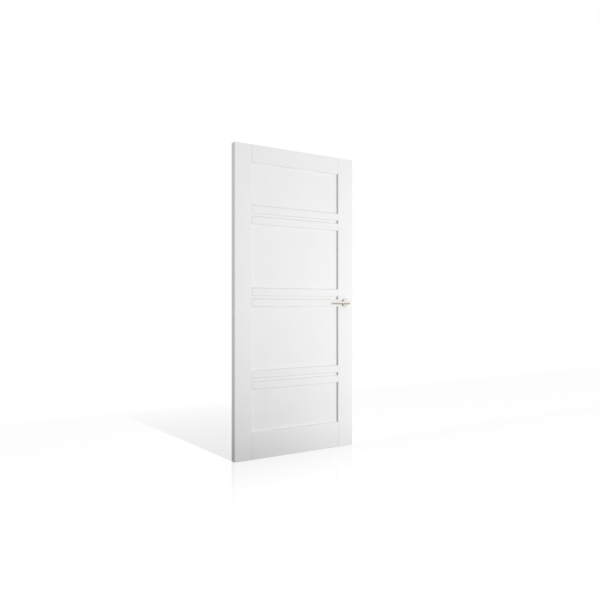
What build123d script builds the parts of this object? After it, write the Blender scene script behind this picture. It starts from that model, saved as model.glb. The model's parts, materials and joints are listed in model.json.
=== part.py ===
from build123d import *
import math
import os

# Interior door leaf: stiles and rails around recessed flat panels, with a lever handle
# on round roses and a mortise latch. Millimetres. The origin is the middle of the
# bottom edge. +X points to the lock edge, -Y to the front face and +Z up.

# Leaf
leaf_width = 930.0
leaf_height = 2015.0
leaf_thickness = 44.0
stile_width = 124.0
top_rail_height = 112.0
bottom_rail_height = 173.0
slim_rail_height = 50.0
slim_rail_gap = 20.0
end_panel_sight = 275.0
panel_thickness = 20.0
tongue_thickness = 10.0
side_gap = 4.0
groove_depth = 12.0
panel_play = 1.0
arris = 1.5
slim_rail_bevel = 3.0
tenon_thickness = 12.0
tenon_clearance = 6.0
tenon_share = 0.3
tenon_play = 0.15

# Handle
spindle_inset = 3.0
rose_diameter = 53.0
rose_thickness = 10.0
rose_wall = 1.5
rose_edge_bevel = 0.9
rose_play = 0.3
rose_neck_gap = 0.4
bar_diameter = 19.0
bar_standoff = 42.0
lever_reach = 145.0
tip_bevel = 1.6
neck_start = 0.4
running_play = 0.05
spindle_side = 8.0
spindle_play = 0.1
socket_depth = 28.0
spindle_end_play = 0.5
grub_diameter = 5.0
grub_setback = 6.0
grub_play = 0.1
grub_sink = 0.5
grub_hex = 2.5
grub_hex_depth = 1.8
bolt_spacing = 38.0
bolt_diameter = 4.0
bolt_head_diameter = 7.6
bolt_head_depth = 1.8
bolt_play = 0.2
bolt_thread = 4.5
driver_slot_width = 1.0
driver_slot_depth = 0.8

# Latch
spindle_hole_diameter = 20.0
forend_thickness = 3.0
forend_width = 20.0
forend_height = 170.0
forend_screw_spacing = 150.0
case_thickness = 14.0
case_plate = 1.5
case_behind_spindle = 25.0
case_above_spindle = 46.0
case_below_spindle = 44.0
case_play = 0.5
case_tab = 8.0
case_tab_inset = 14.0
case_tab_play = 0.1
lever_swing = 36.0
latch_stroke = 12.0
latch_sink = 0.3
latch_head_height = 22.0
latch_head_inside = 16.0
latch_tip_thickness = 3.0
latch_tail_thickness = 8.0
latch_tail_bridge = 4.5
latch_hook = 6.0
latch_stub_diameter = 4.0
latch_stub_length = 6.0
latch_gap = 0.3
journal_diameter = 16.0
tail_above_spindle = 15.0
arm_web = 3.0
arm_head_diameter = 6.0
arm_headroom = 1.0
guide_rib = 2.0
guide_rib_front = 25.0
guide_rib_rear = 15.0
spring_lug = 4.0
spring_lug_place = 22.0
spring_lug_height = 12.0
spring_wire = 0.8
spring_diameter = 7.7
spring_bends = 8
latch_spring_turns = 6
return_spring_turns = 7
screw_diameter = 4.0
screw_length = 30.0
screw_head_diameter = 8.0
screw_head_depth = 2.4
screw_play = 0.1
overrun = 1.0

# Levels and edges worked out from the sizes above
hinge_edge_x = -leaf_width / 2
lock_edge_x = leaf_width / 2
opening_left = hinge_edge_x + stile_width
opening_right = lock_edge_x - stile_width
face = leaf_thickness / 2
panel_face = panel_thickness / 2
tongue_face = tongue_thickness / 2
slim_pair_height = 2 * slim_rail_height + slim_rail_gap
panel_heights = leaf_height - top_rail_height - bottom_rail_height - 3 * slim_pair_height
middle_panel_sight = panel_heights / 2 - end_panel_sight

stack = [
    ("bottom_rail", bottom_rail_height),
    ("bottom_panel", end_panel_sight),
    ("lower_pair_low_rail", slim_rail_height),
    ("lower_strip", slim_rail_gap),
    ("lower_pair_high_rail", slim_rail_height),
    ("lower_panel", middle_panel_sight),
    ("middle_pair_low_rail", slim_rail_height),
    ("middle_strip", slim_rail_gap),
    ("middle_pair_high_rail", slim_rail_height),
    ("upper_panel", middle_panel_sight),
    ("upper_pair_low_rail", slim_rail_height),
    ("upper_strip", slim_rail_gap),
    ("upper_pair_high_rail", slim_rail_height),
    ("top_panel", end_panel_sight),
    ("top_rail", top_rail_height),
]
levels = {}
level = 0
for name, height in stack:
    levels[name] = (level, level + height)
    level += height
rail_names = [name for name, height in stack if name.endswith("rail")]
board_names = [name for name, height in stack if not name.endswith("rail")]

backset = stile_width / 2 + spindle_inset
spindle_x = lock_edge_x - backset
tenon_length = 2 * (stile_width - backset - case_behind_spindle - tenon_clearance)
spindle_z = sum(levels["middle_pair_low_rail"]) / 2
bar_radius = bar_diameter / 2
half_swing = lever_swing / 2
arm_radius = latch_stroke / 2 / math.sin(math.radians(half_swing))
arm_swing = latch_stroke / 2
arm_head_radius = arm_head_diameter / 2

forend_back_x = lock_edge_x - forend_thickness
case_rear_x = spindle_x - case_behind_spindle
case_low_z = spindle_z - case_below_spindle
case_high_z = spindle_z + case_above_spindle
case_middle_z = (case_low_z + case_high_z) / 2
case_half = case_thickness / 2
cavity_half = case_half - case_plate
cavity_rear_x = case_rear_x + case_plate
moving_half = cavity_half - latch_gap

tail_low_z = spindle_z + tail_above_spindle
notch_top_z = spindle_z + arm_radius + arm_head_radius + arm_headroom
tail_high_z = notch_top_z + latch_tail_bridge
latch_z = (tail_low_z + tail_high_z) / 2
hook_face_x = spindle_x + arm_swing - arm_head_radius - latch_gap
hook_rear_x = hook_face_x - latch_hook
notch_front_x = spindle_x + arm_swing + arm_head_radius + latch_gap + latch_stroke
latch_rear_x = forend_back_x - latch_head_inside
latch_tip_x = lock_edge_x + latch_stroke - latch_sink
arm_low_z = spindle_z - arm_radius * math.cos(math.radians(half_swing))

base_radius = rose_diameter / 2 - rose_wall - rose_play
cover_inside = face + rose_thickness - rose_wall
base_top = cover_inside - bolt_head_depth - rose_play
bar_axis = face + bar_standoff
grub_axis = face + rose_thickness + grub_setback


def span_box(x, y, z):
    """Box between pairs of limits."""
    middle = [sum(pair) / 2 for pair in (x, y, z)]
    sizes = [pair[1] - pair[0] for pair in (x, y, z)]
    return Pos(*middle) * Box(*sizes)


def rod_x(radius, x, y, z):
    """Cylinder along X between two limits."""
    return Pos(sum(x) / 2, y, z) * Rot(0, 90, 0) * Cylinder(radius, x[1] - x[0])


def rod_y(radius, x, y, z):
    """Cylinder along Y between two limits."""
    return Pos(x, sum(y) / 2, z) * Rot(90, 0, 0) * Cylinder(radius, y[1] - y[0])


def rod_z(radius, z):
    """Cylinder on the Z axis between two limits."""
    return Pos(0, 0, sum(z) / 2) * Cylinder(radius, z[1] - z[0])


def cone_z(low_radius, high_radius, z):
    """Cone on the Z axis between two limits."""
    return Pos(0, 0, sum(z) / 2) * Cone(low_radius, high_radius, z[1] - z[0])


def on_front(piece):
    """Handle piece from its own frame, with Z out of the leaf, to the front face."""
    return Location((spindle_x, 0, spindle_z), (90, 0, 0)) * piece


def on_back(piece):
    """The same handle piece, mirrored to the back face."""
    return mirror(on_front(piece), about=Plane.XZ)


# Stiles, rails and panels
def loose_tenons(play=0, end_play=0):
    """A tenon across every joint between a rail and a stile, or its mortise with play."""
    half_length = tenon_length / 2 + end_play
    half_thickness = tenon_thickness / 2 + play
    tenons = []
    for name in rail_names:
        low, high = levels[name]
        middle = (low + high) / 2
        half_height = tenon_share * (high - low) / 2 + play
        for x in (opening_left, opening_right):
            tenons.append(
                span_box(
                    (x - half_length, x + half_length),
                    (-half_thickness, half_thickness),
                    (middle - half_height, middle + half_height),
                )
            )
    return tenons


def mortises():
    return loose_tenons(tenon_play, panel_play)


def stile(outer_x, inner_x):
    """Full-height stile with the groove for the tongues along its inner edge."""
    limits = (min(outer_x, inner_x), max(outer_x, inner_x))
    groove_x = inner_x + math.copysign(groove_depth, outer_x - inner_x)
    mouth_x = inner_x - math.copysign(overrun, outer_x - inner_x)
    board = span_box(limits, (-face, face), (0, leaf_height))
    board = chamfer(board.edges(), arris)
    groove = span_box(
        (min(groove_x, mouth_x), max(groove_x, mouth_x)),
        (-tongue_face, tongue_face),
        (-overrun, leaf_height + overrun),
    )
    return board - groove


def rail(name):
    """Bevelled rail with a tongue on each end and a groove along each edge that meets a panel."""
    low, high = levels[name]
    board = span_box((opening_left, opening_right), (-face, face), (low, high))
    board = chamfer(board.edges().filter_by(Axis.X), slim_rail_bevel if "pair" in name else arris)
    board = chamfer(board.edges().filter_by(Axis.Z), arris)
    tongue_x = (opening_left - groove_depth, opening_right + groove_depth)
    board += span_box(tongue_x, (-tongue_face, tongue_face), (low, high))
    groove_x = (tongue_x[0] - overrun, tongue_x[1] + overrun)
    if low > 0:
        board -= span_box(
            groove_x, (-panel_face, panel_face), (low - overrun, low + groove_depth)
        )
    if high < leaf_height:
        board -= span_box(
            groove_x, (-panel_face, panel_face), (high - groove_depth, high + overrun)
        )
    return board


def panel(name):
    """Flat board in the rails' grooves, a narrow gap short of the stiles, with side tongues."""
    low, high = levels[name]
    edge = groove_depth - panel_play
    z = (low - edge, high + edge)
    field_x = (opening_left + side_gap, opening_right - side_gap)
    tongue_x = (opening_left - edge, opening_right + edge)
    board = span_box(field_x, (-panel_face, panel_face), z)
    return board + span_box(tongue_x, (-tongue_face, tongue_face), z)


def forend_outline():
    """Rounded plate outline in the plane of the lock edge."""
    plane = Plane((lock_edge_x, 0, case_middle_z), x_dir=(0, 0, 1), z_dir=(-1, 0, 0))
    return plane * SlotOverall(forend_height, forend_width)


def forend_screw_heights():
    half = forend_screw_spacing / 2
    return [case_middle_z - half, case_middle_z + half]


def rose_bolt_places():
    return [spindle_x - bolt_spacing / 2, spindle_x + bolt_spacing / 2]


def lock_stile():
    """Stile with the mortise for the latch and the holes for the handle."""
    board = stile(lock_edge_x, opening_right)
    board -= extrude(forend_outline(), amount=forend_thickness)
    board -= span_box(
        (case_rear_x - case_play, lock_edge_x),
        (-case_half - case_play, case_half + case_play),
        (case_low_z - case_play, case_high_z + case_play),
    )
    through = (-face - overrun, face + overrun)
    board -= rod_y(spindle_hole_diameter / 2, spindle_x, through, spindle_z)
    for x in rose_bolt_places():
        board -= rod_y(bolt_diameter / 2 + bolt_play, x, through, spindle_z)
    for z in forend_screw_heights():
        board -= forend_screw(z, screw_play)
    return board - mortises()


# Handle pieces, in their own frame: Z out of the leaf from its middle, X towards the
# lock edge and Y up
def lever():
    """Round bar mitred to its neck, with a square socket for the spindle and a set screw hole."""
    start = face + neck_start
    path = Polyline((0, 0, start), (0, 0, bar_axis), (-lever_reach, 0, bar_axis))
    section = Pos(0, 0, start) * Circle(bar_radius)
    bar = sweep(section, path=path, transition=Transition.RIGHT)
    tip = bar.edges().filter_by(GeomType.CIRCLE).sort_by(Axis.X)[0]
    bar = chamfer(tip, tip_bevel)
    side = spindle_side / 2 + spindle_play
    bar -= span_box((-side, side), (-side, side), (start - overrun, start + socket_depth))
    hole = Pos(0, 0, grub_axis) * Rot(90, 0, 0)
    return bar - hole * rod_z(grub_diameter / 2, (0, bar_radius + overrun))


def grub_screw():
    """Set screw that clamps the lever to the spindle, with a hexagon socket."""
    inner = spindle_side / 2 + grub_play
    outer = bar_radius - grub_sink
    body = rod_z(grub_diameter / 2 - grub_play, (inner, outer))
    socket = extrude(RegularPolygon(grub_hex / 2, 6, major_radius=False), grub_hex_depth)
    body -= Pos(0, 0, outer - grub_hex_depth) * socket
    return Pos(0, 0, grub_axis) * Rot(90, 0, 0) * body


def rose_cover():
    """Shallow turned cap over the rose base."""
    outer = rod_z(rose_diameter / 2, (face, face + rose_thickness))
    rim = outer.edges().filter_by(GeomType.CIRCLE).sort_by(Axis.Z)[-1]
    cap = chamfer(rim, rose_edge_bevel)
    cap -= rod_z(rose_diameter / 2 - rose_wall, (face, cover_inside))
    return cap - rod_z(bar_radius + rose_neck_gap, (face, face + rose_thickness))


def bolt_hole():
    """Hole for a bolt through the front rose base."""
    return rod_z(bolt_diameter / 2 + bolt_play, (face, base_top))


def threaded_hole():
    """Blind hole for a bolt's end in the back rose base."""
    return rod_z(bolt_diameter / 2 + bolt_play, (face, face + bolt_thread + overrun))


def rose_base(bolt_seat):
    """Moulded fixing disc under the cover, with the bearing of the lever's neck."""
    disc = rod_z(base_radius, (face, base_top)) - rod_z(bar_radius + running_play, (face, base_top))
    for x in (-bolt_spacing / 2, bolt_spacing / 2):
        disc -= Pos(x, 0, 0) * bolt_seat
    return disc


def driver_slot(top):
    half = driver_slot_width / 2
    reach = bolt_head_diameter / 2 + overrun
    return span_box((-half, half), (-reach, reach), (top - driver_slot_depth, top + overrun))


def rose_bolt():
    """Flat-headed bolt from the front rose base through the leaf into the back one."""
    top = base_top + bolt_head_depth
    bolt = rod_z(bolt_head_diameter / 2, (base_top, top))
    bolt += rod_z(bolt_diameter / 2, (-face - bolt_thread, base_top))
    return bolt - driver_slot(top)


def spindle():
    """Square bar through both levers and the follower."""
    half = spindle_side / 2
    end = face + neck_start + socket_depth - spindle_end_play
    return span_box((-half, half), (-half, half), (-end, end))


def follower():
    """Hub on the spindle, turned in the case plates, with an arm above and one below."""
    arms = Rectangle(arm_web, 2 * arm_radius)
    for y in (-arm_radius, arm_radius):
        arms += Pos(0, y) * Circle(arm_head_radius)
    hub = extrude(Rot(0, 0, -half_swing) * arms, amount=moving_half, both=True)
    hub += rod_z(journal_diameter / 2, (-case_half, case_half))
    side = spindle_side / 2 + spindle_play
    reach = case_half + overrun
    return hub - span_box((-side, side), (-side, side), (-reach, reach))


# Latch pieces, in the leaf's frame
def forend():
    """Rounded plate in the lock edge, with the mouth for the latch."""
    plate = extrude(forend_outline(), amount=forend_thickness)
    plate -= span_box(
        (forend_back_x - overrun, lock_edge_x + overrun),
        (-moving_half - latch_gap, moving_half + latch_gap),
        (
            latch_z - latch_head_height / 2 - latch_gap,
            latch_z + latch_head_height / 2 + latch_gap,
        ),
    )
    for z in forend_screw_heights():
        plate -= forend_screw(z, screw_play)
    return plate


def forend_screw(z, play=0):
    """Countersunk wood screw in the lock edge, or its hole with the given play."""
    shank = screw_diameter / 2 + play
    head = screw_head_diameter / 2 + play
    body = cone_z(shank, head, (-screw_head_depth, 0))
    body += rod_z(shank, (-screw_length - play, -screw_head_depth))
    return Pos(lock_edge_x, 0, z) * Rot(0, 90, 0) * body


def slotted_forend_screw(z):
    half = driver_slot_width / 2
    reach = screw_head_diameter / 2 + overrun
    slot = span_box(
        (lock_edge_x - driver_slot_depth, lock_edge_x + overrun),
        (-reach, reach),
        (z - half, z + half),
    )
    return forend_screw(z) - slot


def case_tabs(play=0):
    """Tabs on the tray's top and bottom walls, peened into the cover, or their notches."""
    half = case_tab / 2 + play
    wall = case_plate + play
    tabs = []
    for x in (case_rear_x + case_tab_inset, forend_back_x - case_tab_inset):
        for z in ((case_low_z, case_low_z + wall), (case_high_z - wall, case_high_z)):
            tabs.append(span_box((x - half, x + half), (cavity_half, case_half), z))
    return tabs


def handle_holes(y):
    """Holes through a case plate for the follower and the rose bolts."""
    holes = [rod_y(journal_diameter / 2 + running_play, spindle_x, y, spindle_z)]
    for x in rose_bolt_places():
        holes.append(rod_y(bolt_diameter / 2 + bolt_play, x, y, spindle_z))
    return holes


def lock_case():
    """Tray of the latch case, with tabs, the latch guide and the spring lug."""
    outer_x = (case_rear_x, forend_back_x)
    tray = span_box(outer_x, (-case_half, cavity_half), (case_low_z, case_high_z))
    tray -= span_box(
        (cavity_rear_x, forend_back_x),
        (-cavity_half, cavity_half),
        (case_low_z + case_plate, case_high_z - case_plate),
    )
    guide_low = tail_high_z + latch_gap
    tray += span_box(
        (spindle_x - guide_rib_rear, spindle_x + guide_rib_front),
        (-cavity_half, latch_tail_thickness / 2),
        (guide_low, guide_low + guide_rib),
    )
    lug_x = spindle_x + spring_lug_place
    tray += span_box(
        (lug_x, lug_x + spring_lug),
        (-cavity_half, latch_tail_thickness / 2),
        (arm_low_z - spring_lug_height / 2, arm_low_z + spring_lug_height / 2),
    )
    tray += case_tabs()
    return tray - handle_holes((-case_half - overrun, -cavity_half + overrun))


def lock_cover():
    """Flat plate that closes the latch case."""
    plate = span_box(
        (case_rear_x, forend_back_x), (cavity_half, case_half), (case_low_z, case_high_z)
    )
    plate -= case_tabs(case_tab_play)
    return plate - handle_holes((cavity_half - overrun, case_half + overrun))


def latch_bolt():
    """Bevelled head in the forend, with a tail that the follower's upper arm draws back."""
    outline = Polyline(
        (latch_rear_x, -moving_half),
        (lock_edge_x, -moving_half),
        (latch_tip_x, moving_half - latch_tip_thickness),
        (latch_tip_x, moving_half),
        (latch_rear_x, moving_half),
        close=True,
    )
    head = extrude(make_face(outline), amount=latch_head_height)
    bolt = Pos(0, 0, latch_z - latch_head_height / 2) * head
    tail_y = (-latch_tail_thickness / 2, latch_tail_thickness / 2)
    bolt += span_box((hook_rear_x, latch_rear_x), tail_y, (tail_low_z, tail_high_z))
    bolt -= span_box(
        (hook_face_x, notch_front_x),
        (-face, face),
        (tail_low_z - overrun, notch_top_z),
    )
    stub_x = (hook_rear_x - latch_stub_length, hook_rear_x)
    return bolt + rod_x(latch_stub_diameter / 2, stub_x, 0, latch_z)


def coil_spring(x, z, turns):
    """Compression spring of square wire along X between two seats, clear of both."""
    start = x[0] + spring_wire + latch_gap
    length = x[1] - x[0] - 2 * spring_wire - 2 * latch_gap
    radius = (spring_diameter - spring_wire) / 2
    count = turns * spring_bends
    points = []
    for step in range(count + 1):
        angle = 2 * math.pi * step / spring_bends
        y = radius * math.cos(angle)
        points.append((start + length * step / count, y, z + radius * math.sin(angle)))
    path = Polyline(*points)
    section = Plane(path @ 0, x_dir=(0, 1, 0), z_dir=path % 0) * Rectangle(spring_wire, spring_wire)
    return sweep(section, path=path, transition=Transition.RIGHT)


def latch_spring():
    return coil_spring((cavity_rear_x, hook_rear_x), latch_z, latch_spring_turns)


def return_spring():
    arm_x = spindle_x - arm_swing + arm_head_radius
    return coil_spring((arm_x, spindle_x + spring_lug_place), arm_low_z, return_spring_turns)


def build_pieces():
    holes = mortises()
    pieces = {
        "hinge_stile": stile(hinge_edge_x, opening_left) - holes,
        "lock_stile": lock_stile(),
        "rail_tenons": loose_tenons(),
    }
    for name in rail_names:
        pieces[name] = rail(name) - holes
    for name in board_names:
        pieces[name] = panel(name)

    for name, piece in {"lever": lever(), "rose_cover": rose_cover()}.items():
        pieces["front_" + name] = on_front(piece)
        pieces["back_" + name] = on_back(piece)
    pieces["front_rose_base"] = on_front(rose_base(bolt_hole()))
    pieces["back_rose_base"] = on_back(rose_base(threaded_hole()))
    pieces["grub_screws"] = [on_front(grub_screw()), on_back(grub_screw())]
    sides = [Pos(-bolt_spacing / 2, 0, 0), Pos(bolt_spacing / 2, 0, 0)]
    pieces["rose_bolts"] = [on_front(side * rose_bolt()) for side in sides]
    pieces["spindle"] = on_front(spindle())
    pieces["follower"] = on_front(follower())

    pieces["forend"] = forend()
    pieces["forend_screws"] = [slotted_forend_screw(z) for z in forend_screw_heights()]
    pieces["lock_case"] = lock_case()
    pieces["lock_cover"] = lock_cover()
    pieces["latch_bolt"] = latch_bolt()
    pieces["latch_spring"] = latch_spring()
    pieces["return_spring"] = return_spring()
    return pieces


os.makedirs("parts", exist_ok=True)
for name, piece in build_pieces().items():
    shape = Compound(piece) if isinstance(piece, list) else piece
    export_step(shape, f"parts/{name}.step")
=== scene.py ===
import json
import math

import bpy
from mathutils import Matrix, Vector


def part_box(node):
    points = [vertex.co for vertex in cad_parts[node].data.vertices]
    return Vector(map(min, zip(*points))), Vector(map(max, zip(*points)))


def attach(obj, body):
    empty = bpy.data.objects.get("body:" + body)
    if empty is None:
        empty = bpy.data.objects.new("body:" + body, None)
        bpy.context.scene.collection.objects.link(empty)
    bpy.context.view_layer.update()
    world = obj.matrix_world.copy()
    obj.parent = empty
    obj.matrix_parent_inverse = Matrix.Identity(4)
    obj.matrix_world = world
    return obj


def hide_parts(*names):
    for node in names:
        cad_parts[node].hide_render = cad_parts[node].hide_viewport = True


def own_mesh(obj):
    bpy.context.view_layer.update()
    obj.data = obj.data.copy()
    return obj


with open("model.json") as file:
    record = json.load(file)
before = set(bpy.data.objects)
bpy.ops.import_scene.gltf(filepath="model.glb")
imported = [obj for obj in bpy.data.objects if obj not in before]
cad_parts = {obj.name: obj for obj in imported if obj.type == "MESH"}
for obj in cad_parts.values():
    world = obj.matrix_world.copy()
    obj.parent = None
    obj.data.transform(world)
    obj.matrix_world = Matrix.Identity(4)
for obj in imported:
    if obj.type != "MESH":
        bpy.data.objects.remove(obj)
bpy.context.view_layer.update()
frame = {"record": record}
scene = bpy.context.scene
scene.view_settings.view_transform = "Standard"

# Places on the leaf that the materials and the floor refer to, in metres
HINGE_EDGE_X = -0.465
SPINDLE = (0.400, 0.0, 1.003)


class Shading:
    """Short calls for the nodes and links of a material or of the world."""

    def __init__(self, owner):
        self.owner = owner
        self.owner.use_nodes = True
        self.tree = self.owner.node_tree
        self.tree.nodes.clear()

    def node(self, kind, **inputs):
        made = self.tree.nodes.new(kind)
        for socket, value in inputs.items():
            self.put(made, socket, value)
        return made

    def put(self, node, socket, value):
        """Set an input, or link it where the value is another node's output."""
        target = node.inputs[socket]
        if isinstance(value, bpy.types.NodeSocket):
            self.tree.links.new(value, target)
        else:
            target.default_value = value

    def place(self):
        """Object place in metres."""
        return self.node("ShaderNodeTexCoord").outputs["Object"]

    def facing(self):
        """Normal in the object's own axes."""
        return self.node("ShaderNodeTexCoord").outputs["Normal"]

    def parts(self, vector):
        """The X, Y and Z outputs of a vector."""
        return self.node("ShaderNodeSeparateXYZ", Vector=vector).outputs

    def vector_math(self, operation, first, second):
        made = self.node("ShaderNodeVectorMath")
        made.operation = operation
        self.put(made, 0, first)
        self.put(made, 1, second)
        return made.outputs

    def stretched(self, scale):
        """Object place, scaled for each axis."""
        return self.vector_math("MULTIPLY", self.place(), scale)["Vector"]

    def noise(self, vector, scale, detail=2.0, rough=0.5):
        made = self.node(
            "ShaderNodeTexNoise", Vector=vector, Scale=scale, Detail=detail, Roughness=rough
        )
        return made.outputs["Fac"]

    def math(self, operation, first, second=0.0):
        made = self.node("ShaderNodeMath")
        made.operation = operation
        self.put(made, 0, first)
        self.put(made, 1, second)
        return made.outputs["Value"]

    def span(self, value, low, high, start=0.3, end=0.7):
        """A factor that runs from low to high as the value goes from start to end."""
        made = self.node("ShaderNodeMapRange", Value=value)
        self.put(made, "From Min", start)
        self.put(made, "From Max", end)
        self.put(made, "To Min", low)
        self.put(made, "To Max", high)
        return made.outputs["Result"]

    def blend(self, factor, first, second):
        """Mix of two colours."""
        made = self.node("ShaderNodeMix")
        made.data_type = "RGBA"
        self.put(made, 0, factor)
        self.put(made, 6, first)
        self.put(made, 7, second)
        return made.outputs[2]

    def bump(self, height, strength, distance, under=None):
        made = self.node("ShaderNodeBump", Strength=strength, Distance=distance, Height=height)
        if under is not None:
            self.put(made, "Normal", under)
        return made.outputs["Normal"]

    def mix_shaders(self, factor, first, second):
        made = self.node("ShaderNodeMixShader")
        self.put(made, 0, factor)
        self.put(made, 1, first.outputs[0])
        self.put(made, 2, second.outputs[0])
        return made

    def surface(self, **inputs):
        """Principled surface to the output. Underscores stand for spaces."""
        made = self.node("ShaderNodeBsdfPrincipled")
        for socket, value in inputs.items():
            self.put(made, socket.replace("_", " "), value)
        self.node("ShaderNodeOutputMaterial", Surface=made.outputs["BSDF"])
        return self.owner


# Lacquer of the leaf: scales of its patterns, its tones, and the painted shade in its corners
# and on its foot
FIBRE_ALONG, FIBRE_ACROSS = 1.5, 60.0
GRAIN_SCALE, CLOUD_SCALE, GLOSS_SCALE, PEEL_SCALE = 6.0, 5.0, 38.0, 620.0
CLOUD_SHARE, GRAIN_SHARE = 0.6, 0.4
LACQUER = ((0.862, 0.866, 0.862, 1), (0.884, 0.886, 0.882, 1))
LACQUER_ROUGHNESS = (0.36, 0.46)
PAINTED_SHADE_TONE = (0.71, 0.705, 0.69, 1)
CORNER_SHADE_REACH = 0.006
CORNER_SHADE_OPEN = (0.3, 0.95)
CORNER_SHADE_RAYS = 8
FOOT_SHADE_SHARE = 0.34
FOOT_HEIGHT = 0.13
FOOT_UNEVEN = 0.03


def white_paint(name, along):
    """Sprayed satin lacquer, with the wood's grain just showing through, and painted shade in
    its corners and towards its foot.
    """
    make = Shading(bpy.data.materials.new(name))
    fibre = [FIBRE_ACROSS] * 3
    fibre[along] = FIBRE_ALONG
    grain = make.noise(make.stretched(fibre), GRAIN_SCALE, detail=3.0, rough=0.55)
    cloud = make.noise(make.place(), CLOUD_SCALE)
    peel = make.noise(make.place(), PEEL_SCALE, rough=0.45)
    gloss = make.noise(make.place(), GLOSS_SCALE, detail=3.0)
    tone = make.math(
        "ADD",
        make.math("MULTIPLY", cloud, CLOUD_SHARE),
        make.math("MULTIPLY", grain, GRAIN_SHARE),
    )
    colour = make.blend(make.span(tone, 0.0, 1.0), *LACQUER)
    # Painted shade: the colour darkens in corners, gaps and recesses that ambient occlusion
    # finds within a few millimetres
    air = make.node("ShaderNodeAmbientOcclusion", Distance=CORNER_SHADE_REACH)
    air.samples = CORNER_SHADE_RAYS
    colour = make.blend(make.span(air.outputs["AO"], 1.0, 0.0, *CORNER_SHADE_OPEN), colour, PAINTED_SHADE_TONE)
    # Painted shade: the colour darkens towards the bottom of the leaf, with an uneven upper
    # edge
    uneven = make.span(cloud, 0.0, FOOT_UNEVEN)
    height = make.math("SUBTRACT", make.parts(make.place())["Z"], uneven)
    colour = make.blend(make.span(height, FOOT_SHADE_SHARE, 0.0, 0.0, FOOT_HEIGHT), colour, PAINTED_SHADE_TONE)
    relief = make.bump(grain, strength=0.18, distance=0.0004)
    relief = make.bump(peel, strength=0.12, distance=0.00025, under=relief)
    return make.surface(
        Base_Color=colour, Roughness=make.span(gloss, *LACQUER_ROUGHNESS), Normal=relief
    )


# Metals: the relief of brushing, turning and plating, the rings of turning, and the painted
# shade on the levers' undersides (by the normal's Z) and on the roses' side walls (by distance
# from the leaf's mid plane)
METAL_RELIEF = 0.00005
METAL_CLOUD_SCALE = 30.0
RINGS_ACROSS, RINGS_DEEP = 3200.0, 900.0
UNDERSIDE_SHADE = (-0.60, 0.05)
ROSE_WALL = (0.0285, 0.0314)
ROSE_WALL_SHARE = 0.92
PAINTED_WALL_SHADE = (0.07, 0.066, 0.055, 1)


def metal(make, colour, roughness, normal):
    return make.surface(Base_Color=colour, Metallic=1.0, Roughness=roughness, Normal=normal)


def brushed_metal(name, colours, scale, roughness, depth, under=None):
    """Metal brushed in lines along the axis with the smallest scale. If under, a colour, is
    given, it is painted where the surface faces down, as painted shade."""
    make = Shading(bpy.data.materials.new(name))
    lines = make.noise(make.stretched(scale), 1.0, detail=3.0, rough=0.6)
    cloud = make.noise(make.place(), METAL_CLOUD_SCALE)
    colour = make.blend(make.span(cloud, 0.0, 1.0), *colours)
    if under is not None:
        # Painted shade: the colour turns to under where the surface faces down
        upward = make.parts(make.facing())["Z"]
        colour = make.blend(make.span(upward, 1.0, 0.0, *UNDERSIDE_SHADE), colour, under)
    relief = make.bump(lines, strength=depth, distance=METAL_RELIEF)
    return metal(make, colour, make.span(lines, *roughness), relief)


def turned_metal(name, colours, roughness, depth):
    """Metal with the fine rings of turning around the spindle's axis, and painted shade near
    the leaf.
    """
    make = Shading(bpy.data.materials.new(name))
    offset = make.parts(make.vector_math("SUBTRACT", make.place(), SPINDLE)["Vector"])
    squares = [make.math("POWER", offset[axis], 2.0) for axis in ("X", "Z")]
    radius = make.math("SQRT", make.math("ADD", *squares))
    rings = make.node(
        "ShaderNodeCombineXYZ",
        X=make.math("MULTIPLY", radius, RINGS_ACROSS),
        Y=make.math("MULTIPLY", offset["Y"], RINGS_DEEP),
    )
    lines = make.noise(rings.outputs["Vector"], 1.0, rough=0.6)
    cloud = make.noise(make.place(), METAL_CLOUD_SCALE)
    colour = make.blend(make.span(cloud, 0.0, 1.0), *colours)
    # Painted shade: a near-black tone on the rose's side wall next to the leaf
    wall = make.span(make.math("ABSOLUTE", offset["Y"]), ROSE_WALL_SHARE, 0.0, *ROSE_WALL)
    colour = make.blend(wall, colour, PAINTED_WALL_SHADE)
    relief = make.bump(lines, strength=depth, distance=METAL_RELIEF)
    return metal(make, colour, make.span(lines, *roughness), relief)


def plated_steel(name, colours, roughness):
    """Plated or cast metal, cloudy and slightly uneven in gloss."""
    make = Shading(bpy.data.materials.new(name))
    cloud = make.noise(make.place(), 55.0, detail=4.0, rough=0.6)
    grit = make.noise(make.place(), 1500.0)
    colour = make.blend(make.span(cloud, 0.0, 1.0), *colours)
    relief = make.bump(grit, strength=0.1, distance=METAL_RELIEF)
    return metal(make, colour, make.span(cloud, *roughness), relief)


def moulded_nylon(name, colours, roughness):
    make = Shading(bpy.data.materials.new(name))
    grit = make.noise(make.place(), 2200.0)
    cloud = make.noise(make.place(), 40.0)
    return make.surface(
        Base_Color=make.blend(make.span(cloud, 0.0, 1.0), *colours),
        Roughness=make.span(grit, *roughness),
        Normal=make.bump(grit, strength=0.15, distance=0.00006),
    )


def bare_beech(name, colours, fleck_colour, roughness):
    """Beech with its short dark flecks along X."""
    make = Shading(bpy.data.materials.new(name))
    fleck = make.noise(make.stretched((90.0, 900.0, 900.0)), 1.0)
    grain = make.noise(make.stretched((4.0, 70.0, 70.0)), 2.0, detail=4.0, rough=0.6)
    body = make.blend(make.span(grain, 0.0, 1.0), *colours)
    return make.surface(
        Base_Color=make.blend(make.span(fleck, 0.0, 0.5, 0.58, 0.7), body, fleck_colour),
        Roughness=make.span(grain, *roughness),
        Normal=make.bump(fleck, strength=0.2, distance=0.0002),
    )


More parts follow.
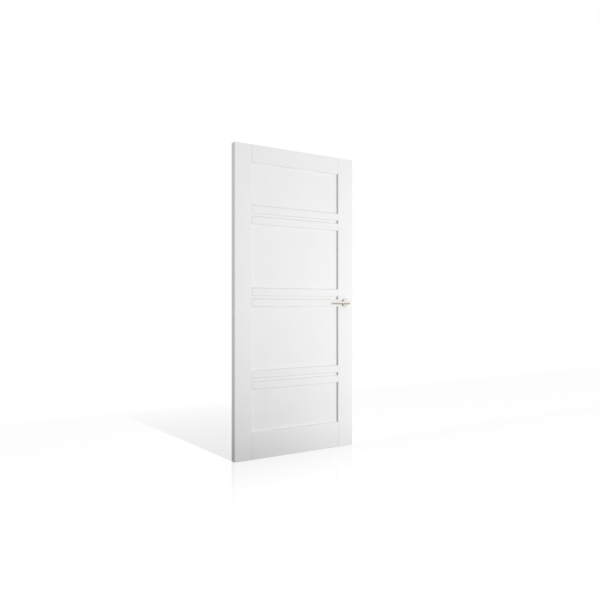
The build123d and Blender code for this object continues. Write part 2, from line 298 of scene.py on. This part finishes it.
# Materials of the CAD nodes, by the record's slots; lacquer and nickel also by the piece
NICKEL = ((0.83, 0.80, 0.735, 1), (0.87, 0.84, 0.78, 1))
NICKEL_ROUGHNESS = (0.24, 0.36)
NICKEL_DEPTH = 0.15
PLATED = {
    "nickel_latch": (((0.62, 0.61, 0.59, 1), (0.7, 0.69, 0.67, 1)), (0.14, 0.26)),
    "zinc_steel": (((0.5, 0.51, 0.53, 1), (0.62, 0.63, 0.64, 1)), (0.3, 0.44)),
    "spring_steel": (((0.24, 0.24, 0.25, 1), (0.34, 0.34, 0.35, 1)), (0.3, 0.42)),
    "cast_zinc": (((0.44, 0.45, 0.46, 1), (0.54, 0.55, 0.56, 1)), (0.45, 0.6)),
}
upright_paint = white_paint("white_paint_upright", along=2)
level_paint = white_paint("white_paint_level", along=0)
bar_nickel = brushed_metal(
    "satin_nickel_bar",
    NICKEL,
    scale=(60.0, 2600.0, 2600.0),
    roughness=NICKEL_ROUGHNESS,
    depth=NICKEL_DEPTH,
    # Painted shade: dark tone for the lever's underside
    under=(0.25, 0.222, 0.17, 1),
)
rose_nickel = turned_metal("satin_nickel_turned", NICKEL, NICKEL_ROUGHNESS, NICKEL_DEPTH)
finishes = {slot: plated_steel(slot, *look) for slot, look in PLATED.items()}
finishes["brushed_forend"] = brushed_metal(
    "brushed_forend",
    ((0.56, 0.55, 0.53, 1), (0.64, 0.63, 0.61, 1)),
    scale=(2600.0, 2600.0, 50.0),
    roughness=(0.26, 0.42),
    depth=0.2,
)
finishes["moulded_nylon"] = moulded_nylon(
    "moulded_nylon", ((0.74, 0.74, 0.71, 1), (0.8, 0.8, 0.77, 1)), roughness=(0.5, 0.62)
)
finishes["tenon_beech"] = bare_beech(
    "tenon_beech",
    ((0.62, 0.42, 0.25, 1), (0.74, 0.55, 0.36, 1)),
    fleck_colour=(0.38, 0.22, 0.12, 1),
    roughness=(0.55, 0.7),
)
for part in frame["record"]["subparts"]:
    node, slot = part["node"], part["material_slot"]
    if slot == "white_paint":
        finish = level_paint if node.endswith("rail") else upright_paint
    elif slot == "satin_nickel":
        finish = bar_nickel if node.endswith("lever") else rose_nickel
    else:
        finish = finishes[slot]
    shown = bpy.data.objects[node]
    if not shown.material_slots:
        shown.data.materials.append(finish)
    for place in shown.material_slots:
        place.material = finish


# Springs of the latch: coils of round wire in place of the plain CAD ones, each with a closed
# turn at both ends
SPRING_RADIUS = 0.00345
SPRING_WIRE = 0.0008
TURN_STEPS = 24
WIRE_SIDES = 8


def coil_spring(node, turns):
    low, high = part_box(node)
    middle_z = (low[2] + high[2]) / 2
    start = low[0] + SPRING_WIRE / 2
    open_length = high[0] - low[0] - SPRING_WIRE - 2 * SPRING_WIRE
    count = (turns + 2) * TURN_STEPS
    corners = []
    for step in range(count + 1):
        turn = step / TURN_STEPS
        closed = min(turn, 1.0) + max(turn - turns - 1.0, 0.0)
        opened = min(max(turn - 1.0, 0.0), turns) / turns
        along = start + closed * SPRING_WIRE + opened * open_length
        angle = 2.0 * math.pi * turn
        for side in range(WIRE_SIDES):
            round_wire = 2.0 * math.pi * side / WIRE_SIDES
            out = SPRING_RADIUS + SPRING_WIRE / 2 * math.cos(round_wire)
            x = along + SPRING_WIRE / 2 * math.sin(round_wire)
            corners.append((x, out * math.cos(angle), middle_z + out * math.sin(angle)))
    faces = []
    for ring in range(0, count * WIRE_SIDES, WIRE_SIDES):
        for side in range(WIRE_SIDES):
            near, far = ring + side, ring + (side + 1) % WIRE_SIDES
            faces.append((near, far, far + WIRE_SIDES, near + WIRE_SIDES))
    last = count * WIRE_SIDES
    faces.append(tuple(range(WIRE_SIDES - 1, -1, -1)))
    faces.append(tuple(range(last, last + WIRE_SIDES)))
    mesh = bpy.data.meshes.new(node + "_coil")
    mesh.from_pydata(corners, [], faces)
    mesh.polygons.foreach_set("use_smooth", [len(face) == 4 for face in faces])
    mesh.materials.append(finishes["spring_steel"])
    coil = bpy.data.objects.new(node + "_coil", mesh)
    scene.collection.objects.link(coil)
    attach(coil, "leaf")
    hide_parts(node)
    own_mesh(coil)


coil_spring("latch_spring", turns=6)
coil_spring("return_spring", turns=7)


# Floor: white to the camera and in reflections. Behind the leaf, part of that white is real
# light that the leaf's shadow takes away, less and less to SHADE_END; in front, it mirrors the
# leaf faintly. It gives back little light around FLOOR_FOOT, beside the hinge edge
FLOOR_SIZE = 60.0
FLOOR_Z = -0.0005
FLOOR_WHITE = 1.05
FLOOR_LIGHT = 0.75
SHADE = (1.02, -0.06)
SHADE_END = 2.2
SHADE_START = (-0.02, 0.02)
BOUNCE = 0.835
FLOOR_FOOT = (HINGE_EDGE_X, -0.10, 0.0)
FOOT_REACH = (0.19, 1.52)
MIRROR_IOR = 1.45
MIRROR_MOST = 0.29
MIRROR_ROUGHNESS = 0.09
MIRROR_DEPTH = (-1.3, 0.0)


def shown_rays(make):
    """One for the rays that show the background: camera, glossy and transmission."""
    ray = make.node("ShaderNodeLightPath").outputs
    seen = make.math("MAXIMUM", ray["Is Camera Ray"], ray["Is Glossy Ray"])
    return make.math("MAXIMUM", seen, ray["Is Transmission Ray"])


def floor_material():
    make = Shading(bpy.data.materials.new("floor"))
    seen = shown_rays(make)
    depth = make.parts(make.place())["Y"]
    behind = make.span(depth, 0.0, 1.0, *SHADE_START)
    shade = make.math("MULTIPLY", behind, make.span(depth, *SHADE, 0.0, SHADE_END))
    from_foot = make.vector_math("DISTANCE", make.place(), FLOOR_FOOT)["Value"]
    grey = make.node("ShaderNodeMix")
    make.put(grey, 0, seen)
    make.put(grey, 2, make.span(from_foot, 0.0, BOUNCE, *FOOT_REACH))
    make.put(grey, 3, shade)
    tone = grey.outputs[0]
    colour = make.node("ShaderNodeCombineColor", Red=tone, Green=tone, Blue=tone)
    body = make.node("ShaderNodeBsdfDiffuse", Color=colour.outputs["Color"])
    white = make.math("SUBTRACT", FLOOR_WHITE, make.math("MULTIPLY", shade, FLOOR_LIGHT))
    glow = make.node("ShaderNodeEmission", Strength=make.math("MULTIPLY", seen, white))
    both = make.node("ShaderNodeAddShader")
    make.put(both, 0, body.outputs[0])
    make.put(both, 1, glow.outputs[0])
    gloss = make.node("ShaderNodeBsdfGlossy", Roughness=MIRROR_ROUGHNESS)
    slant = make.node("ShaderNodeFresnel", IOR=MIRROR_IOR).outputs[0]
    mirror = make.math("MINIMUM", slant, MIRROR_MOST)
    mirror = make.math("MULTIPLY", mirror, make.span(depth, 0.0, 1.0, *MIRROR_DEPTH))
    mixed = make.mix_shaders(mirror, both, gloss)
    make.node("ShaderNodeOutputMaterial", Surface=mixed.outputs[0])
    return make.owner


bpy.ops.mesh.primitive_plane_add(size=FLOOR_SIZE, location=(0.0, 0.0, FLOOR_Z))
floor = bpy.context.object
floor.name = "floor"
floor.data.materials.append(floor_material())

# World: plain white where the camera and reflections see it, and an even light on the leaf
WORLD_LIGHT = 0.484
WORLD_TINT = (0.985, 0.995, 1.0, 1)
scene.world = bpy.data.worlds.new("studio")
sky = Shading(scene.world)
even = sky.node("ShaderNodeBackground", Color=WORLD_TINT, Strength=WORLD_LIGHT)
plain = sky.node("ShaderNodeBackground", Color=(1, 1, 1, 1), Strength=1.0)
choice = sky.mix_shaders(shown_rays(sky), even, plain)
sky.node("ShaderNodeOutputWorld", Surface=choice.outputs[0])

# Lamps: a long strip and a compact panel from the right front at about mid height, a panel
# for the back, all three for the leaf alone and without the front lever's shadow, and a sun
# for the floor alone that throws the leaf's shadow straight back and bounces off the floor
AIM = (0.0, 0.0, 0.97)
LAMP_TINT = (1.0, 0.995, 0.995)
LAMPS = (
    # name, place, watts, width, height
    ("strip", (3.6, -4.8, 0.85), 112.0, 4.0, 0.3),
    ("panel", (1.1, -2.8, 0.8), 22.0, 0.25, 0.25),
    ("back_panel", (0.5, 4.8, 1.5), 95.0, 1.6, 1.6),
)
SUN_PLACE = (0.12, -3.0, 2.2)
SUN_POWER = 1.55
SUN_ANGLE = math.radians(1.5)


def aimed(name, kind, place, target, power, tint):
    lamp = bpy.data.lights.new(name, kind)
    lamp.energy = power
    lamp.color = tint
    holder = bpy.data.objects.new(name, lamp)
    holder.location = place
    towards = Vector(target) - Vector(place)
    holder.rotation_euler = towards.to_track_quat("-Z", "Y").to_euler()
    scene.collection.objects.link(holder)
    return holder


def linked(name, piece, link_state):
    """Collection that ties a lamp or its shadows to one piece alone, or to all but that one."""
    group = bpy.data.collections.new(name)
    group.objects.link(piece)
    group.collection_objects[0].light_linking.link_state = link_state
    return group


all_but_floor = linked("all_but_the_floor", floor, "EXCLUDE")
all_but_lever = linked("all_but_the_lever", bpy.data.objects["front_lever"], "EXCLUDE")
for name, place, power, width, height in LAMPS:
    lamp = aimed(name, "AREA", place, AIM, power, LAMP_TINT)
    lamp.data.shape = "RECTANGLE"
    lamp.data.size, lamp.data.size_y = width, height
    lamp.visible_glossy = False
    lamp.light_linking.receiver_collection = all_but_floor
    lamp.light_linking.blocker_collection = all_but_lever
sun = aimed("floor_sun", "SUN", SUN_PLACE, (0.0, 0.0, 0.0), SUN_POWER, (1.0, 1.0, 1.0))
sun.data.angle = SUN_ANGLE
sun.light_linking.receiver_collection = linked("floor_alone", floor, "INCLUDE")

# Camera: level, at the photograph's side and height
CAMERA_PLACE = (-2.2059, -3.4694, 0.993)
CAMERA_HEADING = (0.543, 0.8398)
FOCAL_LENGTH = 36.72
SENSOR_WIDTH = 36.0
SHIFT_UP = 0.0073
lens = bpy.data.cameras.new("camera")
lens.sensor_width = SENSOR_WIDTH
lens.lens = FOCAL_LENGTH
lens.shift_y = SHIFT_UP
viewer = bpy.data.objects.new("camera", lens)
viewer.location = CAMERA_PLACE
viewer.rotation_euler = (math.radians(90.0), 0.0, -math.atan2(*CAMERA_HEADING))
scene.collection.objects.link(viewer)
scene.camera = viewer
